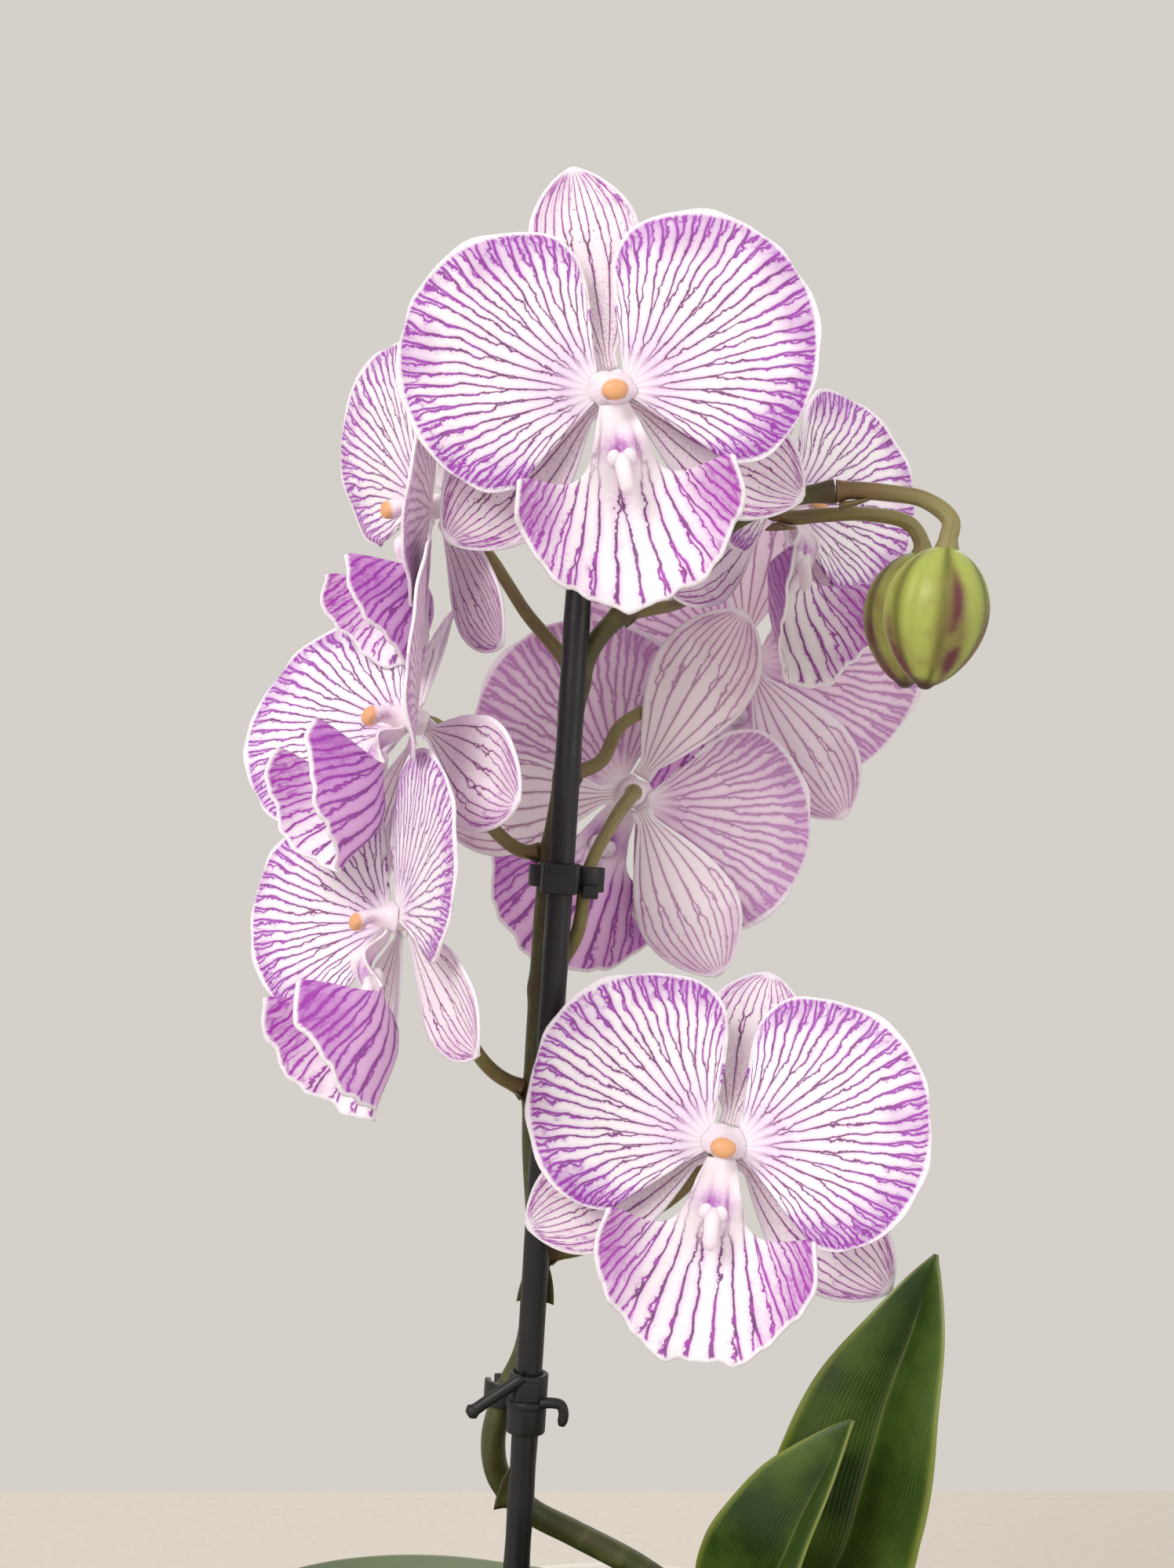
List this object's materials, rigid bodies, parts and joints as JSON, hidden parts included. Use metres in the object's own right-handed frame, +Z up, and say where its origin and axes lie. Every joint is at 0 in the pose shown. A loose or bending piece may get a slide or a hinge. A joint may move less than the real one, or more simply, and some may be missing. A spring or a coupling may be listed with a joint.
{
  "type": "potted orchid",
  "caption": "Potted moth orchid with an arching stem of veined flowers and buds, tied to a stake, over strap leaves in a plain tapered pot.",
  "frame": {"origin": "middle of the pot's flat underside, on the surface that the pot stands on", "axes": "+Z up, along the plant's height; -Y towards the side that the first flowers face; +X to the right seen from there, towards the buds"},
  "size_m": [0.2175, 0.1936, 0.4303],
  "materials": {
    "petal": "soft petal, white with branching purple veins and a magenta margin",
    "sepal": "soft sepal, pale mauve with dark veins",
    "lip": "soft lip, magenta lobes with a white edge and dark middle lines",
    "column": "white and peach column on a green stalk",
    "stem": "smooth green stem",
    "bud": "waxy yellow-green bud with ribs",
    "leaf": "thick glossy dark green leaf",
    "root": "silvery green aerial root",
    "stake": "black plastic-coated stake and clips",
    "pot": "plain off-white pot",
    "medium": "loose bark chips"
  },
  "bodies": {
    "root": {"pot": "pot", "growing_medium": "medium", "crown": "leaf", "stake": "stake", "clip_upper": "stake", "clip_lower": "stake", "stem": "stem", "leaf_right_tall": "leaf", "leaf_right_front": "leaf", "leaf_left": "leaf", "leaf_front_left": "leaf", "leaf_rear_right": "leaf", "root_front": "root", "root_rear": "root", "bud_front": "bud", "bud_rear": "bud", "flower_1_sepals": "sepal", "flower_1_petal_right": "petal", "flower_1_petal_left": "petal", "flower_1_lip": "lip", "flower_1_column": "column", "flower_2_sepals": "sepal", "flower_2_petal_right": "petal", "flower_2_petal_left": "petal", "flower_2_lip": "lip", "flower_2_column": "column", "flower_3_sepals": "sepal", "flower_3_petal_right": "petal", "flower_3_petal_left": "petal", "flower_3_lip": "lip", "flower_3_column": "column", "flower_4_sepals": "sepal", "flower_4_petal_right": "petal", "flower_4_petal_left": "petal", "flower_4_lip": "lip", "flower_4_column": "column", "flower_5_sepals": "sepal", "flower_5_petal_right": "petal", "flower_5_petal_left": "petal", "flower_5_lip": "lip", "flower_5_column": "column", "flower_6_sepals": "sepal", "flower_6_petal_right": "petal", "flower_6_petal_left": "petal", "flower_6_lip": "lip", "flower_6_column": "column", "flower_7_sepals": "sepal", "flower_7_petal_right": "petal", "flower_7_petal_left": "petal", "flower_7_lip": "lip", "flower_7_column": "column", "flower_8_sepals": "sepal", "flower_8_petal_right": "petal", "flower_8_petal_left": "petal", "flower_8_lip": "lip", "flower_8_column": "column"}
  },
  "joints": []
}
